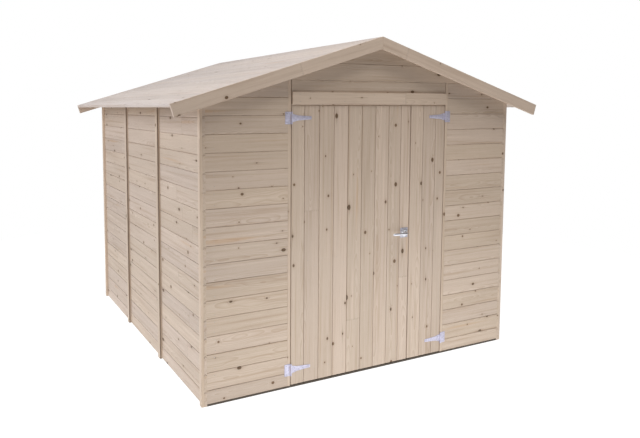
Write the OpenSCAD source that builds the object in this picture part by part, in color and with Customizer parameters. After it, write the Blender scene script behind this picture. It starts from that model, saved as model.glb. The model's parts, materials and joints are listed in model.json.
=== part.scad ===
// Wooden garden shed with a low gable roof and a pair of unequal ledged doors.
// Millimetres. +Z is up, the door side faces -Y, and the origin is on the ground
// at the middle of the roof's plan.

/* [Walls] */
// Width of the shed over its side cladding
shed_w = 2355; // [2200:5:2900]
// Depth of the shed over its front and rear cladding
shed_d = 2444; // [2000:4:3200]
// Height of the side walls at their outer face
side_wall_h = 1803; // [1790:1:2200]
// Height of the gable's lower edge above the top of the side walls
gable_rise = 101; // [80:1:130]
// Thickness of the wall boards
clad_t = 16; // [12:1:22]
// Thickness of the timbers that frame the wall panels
frame_t = 28; // [22:1:45]
// Width of the timbers that frame the wall panels
frame_w = 45; // [35:1:60]
// Height of the middle rails above the ground
mid_rail_z = 860; // [700:10:1000]
// Number of panels in each side wall
side_panels = 3; // [3]
// Gap between two panels, hidden behind a batten
panel_gap = 2; // [1:0.5:4]
// Height of the sills under the front and rear walls
sill_t = 12; // [8:1:45]

/* [Battens] */
// Width of the battens over the panel joints
batten_w = 45; // [30:1:70]
// Width of the battens at the corners
corner_batten_w = 33; // [20:1:60]
// Thickness of all the outer battens
batten_t = 18; // [10:1:25]

/* [Roof] */
// Slope of the roof in degrees
roof_angle = 16.9; // [14:0.1:20]
// Thickness of the roof boards
roof_t = 18; // [14:1:24]
// How far the roof reaches past the side walls
eave_out = 217.5; // [120:0.5:300]
// How far the roof reaches past the front and rear walls
verge_out = 90; // [50:1:200]
// Width of the barge boards, across their slope
barge_h = 75; // [60:1:120]
// Thickness of the barge boards
barge_t = 18; // [14:1:25]
// Height of the ridge beam
ridge_beam_h = 95; // [70:1:140]
// Height of the purlins
purlin_h = 70; // [50:1:95]

/* [Doorway] */
// Width of the doorway
door_w = 1216; // [1000:2:1260]
// Height of the doorway above the sill
door_h = 1741; // [1650:1:1770]
// Width of the strip beside each side of the doorway
jamb_strip_w = 20; // [12:1:40]
// Height of the lintel board over the doors
lintel_h = 75; // [50:1:90]
// How far the lintel board stands proud of the wall
lintel_t = 12; // [8:1:18]
// Gap between the doors and the lintel board
lintel_gap = 4; // [2:1:10]
// Gap beside the header panel and the lintel board
header_gap = 5; // [2:1:8]

/* [Doors] */
// Gap around the doors
door_gap = 5; // [5:0.5:8]
// Gap between the two doors
meeting_gap = 7; // [7:0.5:10]
// Width of the narrow door
narrow_w = 291; // [250:1:400]
// Width of the wide door's meeting board, which carries the lock
meeting_board_w = 80; // [76:1:110]
// Width of the ledges across the back of the doors
ledge_w = 80; // [60:1:100]
// Thickness of the ledges and the brace
ledge_t = 20; // [15:1:24]
// How far the ledges stop short of the doors' edges
ledge_inset = 30; // [20:1:50]
// Height of the middle of the top and bottom ledges inside the doors' ends
ledge_end = 98; // [80:1:160]
// How far the middle ledge lies below the middle of the doors, clear of the lock
middle_ledge_drop = 110; // [80:5:200]

/* [Hinges] */
// Height of the fixed hinge plates
plate_h = 75; // [60:1:100]
// Width of the fixed hinge plates
plate_w = 36; // [30:1:50]
// Thickness of the hinge metal
hinge_t = 3; // [2:0.5:4]
// Outer radius of the hinge knuckles
knuckle_r = 5.5; // [5:0.25:7]
// Radius of the hinge pins
pin_r = 3; // [2:0.25:3.5]
// Clearance between a pin and its bored knuckle
pin_clearance = 0.05; // [0.02:0.01:0.1]
// Clearance along the pin between two knuckles
knuckle_gap = 0.5; // [0.3:0.1:1]
// Length of the straps, from the pin
strap_l = 140; // [100:1:240]
// Width of the straps at the hinge
strap_root_w = 50; // [40:1:60]
// How far the strap's knuckle stops short of its edges
knuckle_inset = 2; // [1:0.5:5]
// Width of the straps where their flared root ends
strap_waist_w = 30; // [22:1:38]
// Distance of that waist from the pin
strap_waist = 45; // [30:1:60]
// Width of the straps at their tip
strap_tip_w = 18; // [12:1:25]
// Height of the lower hinges above the ground
hinge_low_z = 115; // [90:1:300]
// Distance of the upper hinges below the top of the doors
hinge_drop = 73; // [60:1:300]

/* [Handle] */
// Height of the handle above the ground
handle_z = 900; // [800:5:1100]
// Height of the handle's back plates
lock_plate_h = 66; // [50:1:200]
// Width of the handle's back plates
lock_plate_w = 62; // [40:1:70]
// Thickness of the handle's back plates
lock_plate_t = 3; // [2:0.5:5]
// Length of the lever from the middle of its neck
lever_l = 112; // [90:1:130]
// Radius of the lever's grip
lever_r = 8; // [6:0.5:10]
// Distance of the grip's middle from the back plate
lever_out = 42; // [35:1:55]
// Radius of the lever's neck
neck_r = 9; // [7:0.5:11]
// Radius of the spindle through the door
spindle_r = 5; // [4:0.5:6]
// Clearance around the spindle and between lever and back plate
handle_clearance = 0.5; // [0.3:0.1:1]

/* [Hidden] */
$fn = 48;
fit_gap = 0.3;
plate_gap = 0.1;
wood = [0.86, 0.77, 0.65];
frame_wood = [0.80, 0.70, 0.56];
dark_wood = [0.36, 0.29, 0.23];
zinc = [0.78, 0.78, 0.82];
steel = [0.72, 0.72, 0.72];

half_w = shed_w / 2;
half_d = shed_d / 2;
gable_z = side_wall_h + gable_rise;
side_panel_d = shed_d / side_panels;

roof_half = half_w + eave_out;
roof_end = half_d + verge_out;
roof_boards_end = roof_end - barge_t;
roof_rise = tan(roof_angle);
roof_drop = roof_t / cos(roof_angle);
ridge_z = side_wall_h + fit_gap + roof_drop + half_w * roof_rise;
rafter_drop = frame_w / cos(roof_angle) + fit_gap;
under_peak_z = ridge_z - roof_drop - fit_gap;

inner_w = half_w - clad_t;
inner_d = half_d - clad_t;
frame_half_w = inner_w - frame_t;
frame_half_d = inner_d - frame_t;

door_half = door_w / 2;
door_top_z = sill_t + door_h;
leaf_low_z = sill_t + door_gap;
leaf_high_z = door_top_z - door_gap;
wide_low_x = -door_half + door_gap;
narrow_high_x = door_half - door_gap;
narrow_low_x = narrow_high_x - narrow_w;
wide_high_x = narrow_low_x - meeting_gap;
handle_x = wide_high_x - meeting_board_w / 2;
header_half = door_half - header_gap;

pivot_x = door_half - door_gap / 2;
pivot_out = knuckle_r + 1;
pivot_y = -half_d - pivot_out;
hinge_high_z = leaf_high_z - hinge_drop;
hinge_zs = [hinge_low_z, hinge_high_z];
plate_reach = knuckle_r + 2;
middle_ledge_z = (leaf_low_z + leaf_high_z) / 2 - middle_ledge_drop;
ledge_zs = [leaf_low_z + ledge_end, middle_ledge_z, leaf_high_z - ledge_end];
purlin_x = half_w / 2;

// ---- Outlines in the XZ plane, and how they become timbers ----

// Height of the roof's top surface at a distance from the middle
function roof_top_z(x) = ridge_z - abs(x) * roof_rise;

// Everything that lies a drop below the roof boards' underside
module under_roof(drop = 0) {
    low_z = roof_top_z(roof_half) - roof_drop - fit_gap - drop;
    polygon([[-roof_half, 0], [roof_half, 0], [roof_half, low_z],
             [0, under_peak_z - drop], [-roof_half, low_z]]);
}

// An upright rectangle between two places in X and two heights
module outline(x0, x1, z0, z1) {
    translate([x0, z0]) square([x1 - x0, z1 - z0]);
}

// Extrudes an XZ outline along Y, between two places
module along_y(y0, y1) {
    translate([0, y1, 0]) rotate([90, 0, 0]) linear_extrude(y1 - y0) children();
}

// A timber or board between two corners, cut to the slope of the roof
module timber(x0, x1, y0, y1, z0, z1, drop = 0) {
    along_y(y0, y1) intersection() {
        outline(x0, x1, z0, z1);
        under_roof(drop);
    }
}

// A plain box between two corners
module box(x0, x1, y0, y1, z0, z1) {
    translate([x0, y0, z0]) cube([x1 - x0, y1 - y0, z1 - z0]);
}

// One slope of a sheet that lies t deep under the roof's top surface
module slope_outline(side, t) {
    end_z = roof_top_z(roof_half);
    polygon([[0, ridge_z], [side * roof_half, end_z],
             [side * (roof_half - t * sin(roof_angle)), end_z - t * cos(roof_angle)],
             [0, ridge_z - t / cos(roof_angle)]]);
}

// ---- Front wall ----

module front_panel(side) {
    x_outer = inner_w - fit_gap;
    x_inner = door_half + jamb_strip_w + fit_gap;
    x0 = side < 0 ? -x_outer : x_inner;
    x1 = side < 0 ? -x_inner : x_outer;
    color(wood) timber(x0, x1, -half_d, -inner_d, sill_t, gable_z);
}

module front_left_panel() front_panel(-1);

module front_right_panel() front_panel(1);

module front_header_panel() {
    color(wood) timber(-header_half, header_half, -half_d, -inner_d, door_top_z, gable_z);
}

// The triangle that closes a gable above the wall panels
module gable_panel(y0, y1) {
    color(wood) timber(-inner_w, inner_w, y0, y1, gable_z + fit_gap, ridge_z);
}

module front_gable_panel() gable_panel(-half_d, -inner_d);

module door_surround() {
    lintel_z = door_top_z + lintel_gap;
    color(wood) {
        for (side = [-1, 1]) {
            middle_x = side * (door_half + jamb_strip_w / 2);
            box(middle_x - jamb_strip_w / 2, middle_x + jamb_strip_w / 2,
                -half_d, -inner_d, sill_t, gable_z);
        }
        box(-header_half, header_half, -half_d - lintel_t, -half_d - plate_gap,
            lintel_z, lintel_z + lintel_h);
    }
}

// ---- Rear wall ----

module rear_panel(side) {
    x0 = side < 0 ? -inner_w + fit_gap : panel_gap / 2;
    x1 = side < 0 ? -panel_gap / 2 : inner_w - fit_gap;
    color(wood) timber(x0, x1, inner_d, half_d, sill_t, gable_z);
}

module rear_left_panel() rear_panel(-1);

module rear_right_panel() rear_panel(1);

module rear_gable_panel() gable_panel(inner_d, half_d);

// ---- Side walls ----

// Where a side wall's panel starts and ends along Y
function panel_start(i) = -half_d + i * side_panel_d + (i == 0 ? 0 : panel_gap / 2);
function panel_end(i) = -half_d + (i + 1) * side_panel_d - (i == side_panels - 1 ? 0 : panel_gap / 2);

// Where the framing of that panel starts and ends, inside the front and rear boards
function framing_start(i) = max(panel_start(i), -inner_d + fit_gap);
function framing_end(i) = min(panel_end(i), inner_d - fit_gap);

module side_panel(side, i) {
    x0 = side < 0 ? -half_w : inner_w;
    x1 = side < 0 ? -inner_w : half_w;
    color(wood) timber(x0, x1, panel_start(i), panel_end(i), 0, ridge_z);
}

module left_wall_front_panel() side_panel(-1, 0);

module left_wall_middle_panel() side_panel(-1, 1);

module left_wall_rear_panel() side_panel(-1, 2);

module right_wall_front_panel() side_panel(1, 0);

module right_wall_middle_panel() side_panel(1, 1);

module right_wall_rear_panel() side_panel(1, 2);

// ---- Wall framing ----

module side_wall_posts(side) {
    x0 = side < 0 ? -inner_w : frame_half_w;
    color(frame_wood) for (i = [0 : side_panels - 1]) {
        timber(x0, x0 + frame_t, framing_start(i), framing_start(i) + frame_w, 0, ridge_z);
        timber(x0, x0 + frame_t, framing_end(i) - frame_w, framing_end(i), 0, ridge_z);
    }
}

module left_wall_posts() side_wall_posts(-1);

module right_wall_posts() side_wall_posts(1);

module side_wall_rails(side) {
    x0 = side < 0 ? -inner_w : frame_half_w;
    top_z = side_wall_h - frame_w;
    color(frame_wood) for (i = [0 : side_panels - 1], z = [0, mid_rail_z, top_z]) {
        timber(x0, x0 + frame_t, framing_start(i) + frame_w, framing_end(i) - frame_w,
               z, z == top_z ? ridge_z : z + frame_w);
    }
}

module left_wall_rails() side_wall_rails(-1);

module right_wall_rails() side_wall_rails(1);

// A post of a front or rear wall, under the sloping rails of the gable
module end_wall_post(x0, y0) {
    color(frame_wood) timber(x0, x0 + frame_w, y0, y0 + frame_t, sill_t, gable_z, rafter_drop);
}

// A rail of a front or rear wall
module end_wall_rail(x0, x1, y0, z0) {
    color(frame_wood) timber(x0, x1, y0, y0 + frame_t, z0, z0 + frame_w, rafter_drop);
}

corner_post_x = frame_half_w - fit_gap;
top_rail_z = gable_z - frame_w;

module front_wall_posts() {
    for (x0 = [-corner_post_x, -door_half - frame_w, door_half, corner_post_x - frame_w]) {
        end_wall_post(x0, -inner_d);
    }
}

module front_wall_rails() {
    x_outer = corner_post_x - frame_w;
    x_inner = door_half + frame_w;
    for (z0 = [sill_t, mid_rail_z, top_rail_z]) {
        end_wall_rail(-x_outer, -x_inner, -inner_d, z0);
        end_wall_rail(x_inner, x_outer, -inner_d, z0);
    }
    end_wall_rail(-door_half, door_half, -inner_d, door_top_z);
    end_wall_rail(-door_half, door_half, -inner_d, top_rail_z);
}

module rear_wall_posts() {
    seam = panel_gap / 2;
    for (x0 = [-corner_post_x, -seam - frame_w, seam, corner_post_x - frame_w]) {
        end_wall_post(x0, frame_half_d);
    }
}

module rear_wall_rails() {
    x_outer = corner_post_x - frame_w;
    x_inner = panel_gap / 2 + frame_w;
    for (z0 = [sill_t, mid_rail_z, top_rail_z]) {
        end_wall_rail(-x_outer, -x_inner, frame_half_d, z0);
        end_wall_rail(x_inner, x_outer, frame_half_d, z0);
    }
}

// Two sloping rails and a king post inside one gable
module gable_frame(y0) {
    color(frame_wood) {
        for (side = [-1, 1]) along_y(y0, y0 + frame_t) difference() {
            intersection() {
                under_roof();
                outline(side < 0 ? -corner_post_x : fit_gap / 2,
                        side < 0 ? -fit_gap / 2 : corner_post_x, 0, ridge_z);
            }
            under_roof(rafter_drop - fit_gap);
        }
        timber(-frame_w / 2, frame_w / 2, y0, y0 + frame_t, gable_z + fit_gap, ridge_z, rafter_drop);
    }
}

module front_gable_frame() gable_frame(-inner_d);

module rear_gable_frame() gable_frame(frame_half_d);

// The front sill, notched around the side walls' corner posts
module sill_outline() {
    board_x = inner_w - fit_gap;
    translate([-board_x, -half_d]) square([2 * board_x, clad_t]);
    translate([-corner_post_x, -half_d]) square([2 * corner_post_x, clad_t + frame_t]);
}

module base_sills() {
    color(dark_wood) linear_extrude(sill_t) {
        sill_outline();
        mirror([0, 1]) sill_outline();
    }
}

module cover_battens() {
    seam_ys = [for (i = [1 : side_panels - 1]) -half_d + i * side_panel_d];
    color(wood) {
        for (side = [-1, 1]) {
            x0 = side < 0 ? -half_w - batten_t : half_w;
            for (y = seam_ys) {
                timber(x0, x0 + batten_t, y - batten_w / 2, y + batten_w / 2, 0, ridge_z);
            }
            timber(x0, x0 + batten_t, -half_d, -half_d + corner_batten_w, 0, ridge_z);
            timber(x0, x0 + batten_t, half_d - corner_batten_w, half_d, 0, ridge_z);
        }
        timber(-batten_w / 2, batten_w / 2, half_d, half_d + batten_t, 0, ridge_z);
    }
}

// ---- Roof ----

module ridge_beam() {
    color(frame_wood) timber(-frame_w / 2, frame_w / 2, -frame_half_d, frame_half_d,
                             under_peak_z - ridge_beam_h, ridge_z);
}

module roof_purlins() {
    top_z = roof_top_z(purlin_x) - roof_drop - fit_gap;
    color(frame_wood) for (side = [-1, 1]) {
        timber(side * purlin_x - frame_w / 2, side * purlin_x + frame_w / 2,
               -frame_half_d, frame_half_d, top_z - purlin_h, ridge_z);
    }
}

module roof_slope(side) {
    color(wood) along_y(-roof_boards_end, roof_boards_end) slope_outline(side, roof_t);
}

module roof_left_slope() roof_slope(-1);

module roof_right_slope() roof_slope(1);

module barge(side, y0) {
    color(wood) along_y(y0, y0 + barge_t) slope_outline(side, barge_h);
}

module front_left_barge() barge(-1, -roof_end);

module front_right_barge() barge(1, -roof_end);

module rear_left_barge() barge(-1, roof_boards_end);

module rear_right_barge() barge(1, roof_boards_end);

// ---- Doors ----

module leaf(x0, x1) {
    box(x0, x1, -half_d, -inner_d, leaf_low_z, leaf_high_z);
}

// The spindle's way through the wide door
module spindle_hole() {
    translate([handle_x, 0, handle_z]) rotate([90, 0, 0])
        cylinder(r = spindle_r + handle_clearance, h = shed_d);
}

module wide_door_boards() {
    color(wood) difference() {
        leaf(wide_low_x, wide_high_x);
        spindle_hole();
    }
}

module narrow_door_boards() {
    color(wood) leaf(narrow_low_x, narrow_high_x);
}

module ledges(x0, x1) {
    color(frame_wood) for (z = ledge_zs) {
        box(x0 + ledge_inset, x1 - ledge_inset, -inner_d, -inner_d + ledge_t,
            z - ledge_w / 2, z + ledge_w / 2);
    }
}

module wide_door_ledges() ledges(wide_low_x, wide_high_x);

module narrow_door_ledges() ledges(narrow_low_x, narrow_high_x);

// Braces rise from the hinge side between the wide door's ledges
module wide_door_brace() {
    x0 = wide_low_x + ledge_inset + ledge_w;
    x1 = wide_high_x - ledge_inset - meeting_board_w;
    color(frame_wood) for (i = [0, 1]) {
        z0 = ledge_zs[i] + ledge_w / 2 + fit_gap;
        z1 = ledge_zs[i + 1] - ledge_w / 2 - fit_gap;
        along_y(-inner_d, -inner_d + ledge_t)
            polygon([[x0 - ledge_w, z0], [x0, z0], [x1, z1], [x1 - ledge_w, z1]]);
    }
}

// ---- Hinges: side is -1 on the wide door and 1 on the narrow door ----

strap_knuckle = strap_root_w / 2 - knuckle_inset;

module knuckle(side, z0, z1) {
    translate([side * pivot_x, pivot_y, z0]) cylinder(r = knuckle_r, h = z1 - z0);
}

module hinge_plate(side, z) {
    plate_x0 = pivot_x + plate_reach;
    inner_z = strap_knuckle + knuckle_gap;
    half_h = plate_h / 2;
    flat_x0 = side < 0 ? -plate_x0 - plate_w : plate_x0;
    box(flat_x0, flat_x0 + plate_w, -half_d - hinge_t, -half_d - plate_gap,
        z - half_h, z + half_h);
    for (end = [[z - half_h, z - inner_z], [z + inner_z, z + half_h]]) {
        tab_x0 = side < 0 ? -plate_x0 : pivot_x;
        box(tab_x0, tab_x0 + plate_reach, -half_d - hinge_t, -half_d - plate_gap,
            end[0], end[1]);
        knuckle(side, end[0], end[1]);
    }
    translate([side * pivot_x, pivot_y, z - half_h]) cylinder(r = pin_r, h = plate_h);
}

module hinge_plates() {
    color(zinc) for (side = [-1, 1], z = hinge_zs) hinge_plate(side, z);
}

module hinge_strap(side, z) {
    tip_x = pivot_x - strap_l;
    waist_x = pivot_x - strap_waist;
    neck_x = pivot_x - plate_reach;
    difference() {
        union() {
            knuckle(side, z - strap_knuckle, z + strap_knuckle);
            along_y(-half_d - hinge_t, -half_d - plate_gap) {
                polygon([[side * pivot_x, z - strap_knuckle], [side * pivot_x, z + strap_knuckle],
                         [side * neck_x, z + strap_knuckle], [side * neck_x, z + strap_root_w / 2],
                         [side * waist_x, z + strap_waist_w / 2],
                         [side * tip_x, z + strap_tip_w / 2], [side * tip_x, z - strap_tip_w / 2],
                         [side * waist_x, z - strap_waist_w / 2],
                         [side * neck_x, z - strap_root_w / 2], [side * neck_x, z - strap_knuckle]]);
            }
        }
        translate([side * pivot_x, pivot_y, z - strap_root_w])
            cylinder(r = pin_r + pin_clearance, h = 2 * strap_root_w);
    }
}

module wide_door_straps() {
    color(zinc) for (z = hinge_zs) hinge_strap(-1, z);
}

module narrow_door_straps() {
    color(zinc) for (z = hinge_zs) hinge_strap(1, z);
}

// ---- Handle ----

outer_face_y = -half_d;
inner_face_y = -inner_d;

module lock_plate(y0) {
    box(handle_x - lock_plate_w / 2, handle_x + lock_plate_w / 2, y0, y0 + lock_plate_t,
        handle_z - lock_plate_h / 2, handle_z + lock_plate_h / 2);
}

module handle_plates() {
    color(zinc) difference() {
        union() {
            lock_plate(outer_face_y - lock_plate_t - plate_gap);
            lock_plate(inner_face_y + plate_gap);
        }
        spindle_hole();
    }
}

// A neck that stands out along Y from y0, with the grip at its end
module lever(y0, way) {
    grip_y = y0 + way * lever_out;
    translate([handle_x, y0, handle_z]) rotate([way * -90, 0, 0])
        cylinder(r = neck_r, h = lever_out);
    translate([handle_x, grip_y, handle_z]) rotate([0, -90, 0])
        cylinder(r = lever_r, h = lever_l);
    translate([handle_x, grip_y, handle_z]) sphere(r = neck_r);
    translate([handle_x - lever_l, grip_y, handle_z]) sphere(r = lever_r);
}

lever_start = lock_plate_t + 2 * handle_clearance;

module handle_lever() {
    color(steel) {
        lever(outer_face_y - lever_start, -1);
        translate([handle_x, inner_face_y + lever_start, handle_z]) rotate([90, 0, 0])
            cylinder(r = spindle_r, h = clad_t + 2 * lever_start);
    }
}

module inside_lever() {
    color(steel) lever(inner_face_y + lever_start, 1);
}

front_left_panel();
front_right_panel();
front_header_panel();
front_gable_panel();
left_wall_front_panel();
left_wall_middle_panel();
left_wall_rear_panel();
right_wall_front_panel();
right_wall_middle_panel();
right_wall_rear_panel();
rear_left_panel();
rear_right_panel();
rear_gable_panel();
front_wall_posts();
front_wall_rails();
rear_wall_posts();
rear_wall_rails();
left_wall_posts();
left_wall_rails();
right_wall_posts();
right_wall_rails();
front_gable_frame();
rear_gable_frame();
base_sills();
cover_battens();
ridge_beam();
roof_purlins();
roof_left_slope();
roof_right_slope();
front_left_barge();
front_right_barge();
rear_left_barge();
rear_right_barge();
door_surround();
wide_door_boards();
wide_door_ledges();
wide_door_brace();
narrow_door_boards();
narrow_door_ledges();
hinge_plates();
wide_door_straps();
narrow_door_straps();
handle_plates();
handle_lever();
inside_lever();
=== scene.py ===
# %% [markdown]
# # A wooden garden shed, board by board
# The shed's sizes, hinges and timbers come from a fixed frame that is loaded first. A plain slab
# in that frame stands for a whole panel of boards. This notebook lays the real boards in each
# panel's place, rounds the timbers, adds nails, hinges and a handle, and gives each its finish.
# The frame is never changed, so every position below is asked of it and not typed in.

# %% Load the fixed frame
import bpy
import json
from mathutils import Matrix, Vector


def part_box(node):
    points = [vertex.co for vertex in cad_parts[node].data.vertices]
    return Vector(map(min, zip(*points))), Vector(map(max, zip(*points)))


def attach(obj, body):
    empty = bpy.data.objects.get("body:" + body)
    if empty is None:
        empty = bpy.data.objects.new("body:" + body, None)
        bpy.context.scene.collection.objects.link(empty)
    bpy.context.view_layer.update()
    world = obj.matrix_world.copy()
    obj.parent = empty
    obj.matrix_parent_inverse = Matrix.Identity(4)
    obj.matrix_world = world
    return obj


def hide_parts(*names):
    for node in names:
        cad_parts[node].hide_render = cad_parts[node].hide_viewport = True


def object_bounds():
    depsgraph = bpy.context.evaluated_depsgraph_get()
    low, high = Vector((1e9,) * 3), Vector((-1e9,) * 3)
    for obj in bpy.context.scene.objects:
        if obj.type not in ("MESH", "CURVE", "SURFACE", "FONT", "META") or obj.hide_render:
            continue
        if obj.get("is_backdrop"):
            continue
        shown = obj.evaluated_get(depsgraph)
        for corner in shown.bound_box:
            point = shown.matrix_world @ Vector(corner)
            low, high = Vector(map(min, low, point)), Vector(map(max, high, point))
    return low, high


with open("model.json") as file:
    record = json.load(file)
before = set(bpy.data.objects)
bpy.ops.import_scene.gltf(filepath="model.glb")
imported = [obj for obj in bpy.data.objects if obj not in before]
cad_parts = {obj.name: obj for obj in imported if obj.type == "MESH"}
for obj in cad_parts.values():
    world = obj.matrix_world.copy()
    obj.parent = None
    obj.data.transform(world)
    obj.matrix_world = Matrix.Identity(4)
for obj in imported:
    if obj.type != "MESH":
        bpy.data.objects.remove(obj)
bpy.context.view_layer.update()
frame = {"nodes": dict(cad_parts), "record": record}

# %% Tools that every later cell uses
import json
import math
import random

import bmesh
import bpy
import numpy as np
from mathutils import Vector

X, Y, Z = Vector((1, 0, 0)), Vector((0, 1, 0)), Vector((0, 0, 1))
MM = 0.001

# %% [markdown]
# ## Light, floor and camera
# Untreated spruce is pale and nearly matt, so it shows best in broad, soft light: hard lamps would
# burn out the top of the roof and blacken the doors. The floor is a light table, a pale sheet
# that glows like the ones used for product pictures. It lifts the foot of every wall and leaves
# no dark shadow round the shed. A dim sky fills in all round. A panel on the left side lights the
# roof's left slope and the side wall, one above fills in, and one high before the doors puts the
# wall under the barge boards in shade. A low one lifts the foot of the front. The last casts no
# shadow, or the lever and the lintel would throw shadows upwards. The camera sees plain white
# behind the shed. It stands at about eye height, turned towards the rear right corner, with its
# lens shifted down and right, so that it can look down a little less and keep the walls upright.

# %% Colour handling and sky
SKY_STRENGTH = 0.10
SKY_COLOUR = (1.0, 0.88, 0.84, 1)
WHITE = (1.0, 1.0, 1.0, 1)

scene = bpy.context.scene
scene.view_settings.view_transform = "Standard"
scene.view_settings.look = "None"

world = bpy.data.worlds.new("white_studio")
world.use_nodes = True
sky = world.node_tree
glow = sky.nodes["Background"]
glow.inputs["Color"].default_value = SKY_COLOUR
glow.inputs["Strength"].default_value = SKY_STRENGTH
backdrop = sky.nodes.new("ShaderNodeBackground")
backdrop.inputs["Color"].default_value = WHITE
ray = sky.nodes.new("ShaderNodeLightPath")
choice = sky.nodes.new("ShaderNodeMixShader")
sky.links.new(ray.outputs["Is Camera Ray"], choice.inputs[0])
sky.links.new(glow.outputs[0], choice.inputs[1])
sky.links.new(backdrop.outputs[0], choice.inputs[2])
sky.links.new(choice.outputs[0], sky.nodes["World Output"].inputs[0])
scene.world = world

# %% Floor
FLOOR_RADIUS = 4.6
FLOOR_GLOW = 1.04

bpy.ops.mesh.primitive_circle_add(radius=FLOOR_RADIUS, vertices=96, fill_type="NGON")
floor = bpy.context.object
floor.name = "floor"
floor_finish = bpy.data.materials.new("pale_floor")
floor_finish.use_nodes = True
floor_surface = floor_finish.node_tree.nodes["Principled BSDF"]
floor_surface.inputs["Base Color"].default_value = (0.08, 0.08, 0.08, 1)
floor_surface.inputs["Roughness"].default_value = 0.9
floor_surface.inputs["Emission Color"].default_value = WHITE
floor_surface.inputs["Emission Strength"].default_value = FLOOR_GLOW
floor.data.materials.append(floor_finish)
floor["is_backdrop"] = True
print("floor laid,", 2 * FLOOR_RADIUS, "metres across")

# %% Lamps
def soft_panel(name, place, target, size, power, colour=(1, 1, 1)):
    """A lamp of this width and height at a place, turned to face its target."""
    lamp = bpy.data.lights.new(name, "AREA")
    lamp.shape = "RECTANGLE"
    lamp.size, lamp.size_y = size
    lamp.energy = power
    lamp.color = colour
    holder = bpy.data.objects.new(name, lamp)
    scene.collection.objects.link(holder)
    holder.location = place
    holder.rotation_euler = (Vector(target) - Vector(place)).to_track_quat("-Z", "Y").to_euler()
    holder.visible_camera = False
    return holder


soft_panel("top_panel_light", (-1.6, 1.2, 6.5), (-0.2, 0, 1.5), (5.0, 5.0), 160, (0.90, 1.0, 1.14))
soft_panel("side_panel_light", (-6.8, 0.0, 3.4), (-1, 0, 1.2), (4.0, 4.0), 315, (0.92, 1.0, 1.13))
foot = soft_panel("foot_panel_light", (0.0, -2.9, 0.2), (0.0, -1.2, 0.1), (3.2, 0.5), 22,
                  (0.92, 1.0, 1.08))
foot.data.use_shadow = False
soft_panel("front_panel_light", (0.0, -3.4, 6.0), (0.0, -1.2, 1.2), (3.0, 3.0), 146,
           (1.0, 0.985, 0.96))
print("four soft panels hung")

# %% Camera
EYE = Vector((-2.4565, -4.497, 1.739))
TURN_RIGHT = 26.77
LOOK_DOWN = 4.75
LENS_MM = 35.13
SHIFT_RIGHT, SHIFT_UP = 0.0908, -0.0935

lens = bpy.data.cameras.new("camera")
lens.lens = LENS_MM
lens.shift_x = SHIFT_RIGHT
lens.shift_y = SHIFT_UP
camera = bpy.data.objects.new("camera", lens)
scene.collection.objects.link(camera)
camera.location = EYE
camera.rotation_euler = (math.radians(90 - LOOK_DOWN), 0, math.radians(-TURN_RIGHT))
scene.camera = camera
print("camera at", [round(c, 2) for c in camera.location])

# %% [markdown]
# ## Writing shader maths as plain expressions
# A wood finish needs a lot of arithmetic: how far a point is from the heart of the tree, whether
# it lies in a knot, how pale the board is. Wired by hand that would be a hundred nodes. The small
# class below wraps one socket, so that `1 - knot * 0.5` adds its own Math nodes. Colours and
# vectors keep their three channels by going through Mix and Vector Math instead.

# %% A socket that can be used in expressions
class Value:
    """One number that changes over a surface."""

    def __init__(self, finish, socket):
        self.finish = finish
        self.socket = socket

    def do(self, operation, *others, clamp=False):
        settings = {"operation": operation, "use_clamp": clamp}
        values = dict(enumerate((self, *others)))
        return self.finish.add("Math", settings, values).out()

    def __add__(self, other):
        return self.do("ADD", other)

    def __sub__(self, other):
        return self.do("SUBTRACT", other)

    def __rsub__(self, other):
        settings = {"operation": "SUBTRACT"}
        return self.finish.add("Math", settings, {0: other, 1: self}).out()

    def __mul__(self, other):
        return self.do("MULTIPLY", other)

    def __truediv__(self, other):
        return self.do("DIVIDE", other)

    def __pow__(self, other):
        return self.do("POWER", other)

    __radd__ = __add__
    __rmul__ = __mul__

    def fraction(self):
        return self.do("FRACT")

    def size(self):
        return self.do("ABSOLUTE")

    def above(self, limit):
        return self.do("GREATER_THAN", limit)

    def ramp(self, low, high):
        """0 below low, 1 above high and a smooth rise between. Falls where high is the lower."""
        rising = high > low
        settings = {"interpolation_type": "SMOOTHSTEP"}
        values = {"Value": self, "From Min": min(low, high), "From Max": max(low, high),
                  "To Min": 0.0 if rising else 1.0, "To Max": 1.0 if rising else 0.0}
        return self.finish.add("MapRange", settings, values).out()


# %% One method that makes any node
class Node:
    """A node of a finish, whose outputs are asked for by name or number."""

    def __init__(self, finish, node):
        self.finish = finish
        self.node = node

    def out(self, name=0):
        return Value(self.finish, self.node.outputs[name])


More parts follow.
